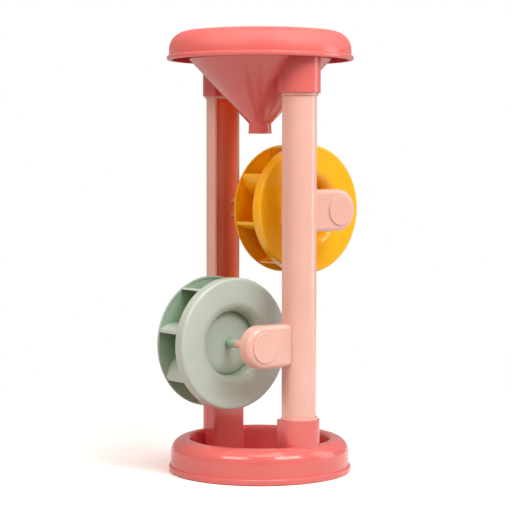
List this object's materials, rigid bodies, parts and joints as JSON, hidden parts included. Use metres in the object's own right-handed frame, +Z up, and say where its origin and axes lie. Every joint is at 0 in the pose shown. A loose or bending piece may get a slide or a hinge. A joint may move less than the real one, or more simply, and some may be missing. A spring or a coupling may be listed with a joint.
{
  "type": "sand wheel toy",
  "caption": "Free-standing sand wheel toy: a funnel tray on channel pillars drops sand onto an upper and a lower paddle wheel over a round base tray.",
  "frame": {"origin": "centre of the base's footprint, on the ground", "axes": "+Z up; the wheels' axles run along Y; -Y is the front; the lower wheel is on the -X side and the upper wheel on the +X side"},
  "size_m": [0.1968, 0.1634, 0.3856],
  "materials": {
    "coral_plastic": "gloss injection moulding",
    "blush_plastic": "gloss injection moulding",
    "yellow_plastic": "gloss injection moulding",
    "sage_plastic": "semi-gloss injection moulding"
  },
  "bodies": {
    "frame": {"base_tray": "coral_plastic", "funnel_tray": "coral_plastic", "front_pillar": "blush_plastic", "back_pillar": "blush_plastic", "lower_front_arm": "blush_plastic", "lower_back_arm": "blush_plastic", "upper_front_arm": "blush_plastic", "upper_back_arm": "blush_plastic", "lower_front_axle_pin": "blush_plastic", "lower_back_axle_pin": "blush_plastic", "upper_front_axle_pin": "blush_plastic", "upper_back_axle_pin": "blush_plastic", "lower_front_arm_cap": "blush_plastic", "lower_back_arm_cap": "blush_plastic", "upper_front_arm_cap": "blush_plastic", "upper_back_arm_cap": "blush_plastic"},
    "lower_wheel": {"lower_wheel_front_half": "sage_plastic", "lower_wheel_back_half": "sage_plastic", "lower_paddle_rotor": "sage_plastic"},
    "upper_wheel": {"upper_wheel_front_half": "yellow_plastic", "upper_wheel_back_half": "yellow_plastic", "upper_paddle_rotor": "yellow_plastic"}
  },
  "joints": [
    {"name": "lower_wheel_spin", "type": "hinge", "parent": "frame", "child": "lower_wheel", "pos_m": [-0.0415, 0, 0.116], "axis": [0, 1, 0], "continuous": true},
    {"name": "upper_wheel_spin", "type": "hinge", "parent": "frame", "child": "upper_wheel", "pos_m": [0.0415, 0, 0.23048], "axis": [0, 1, 0], "continuous": true}
  ]
}
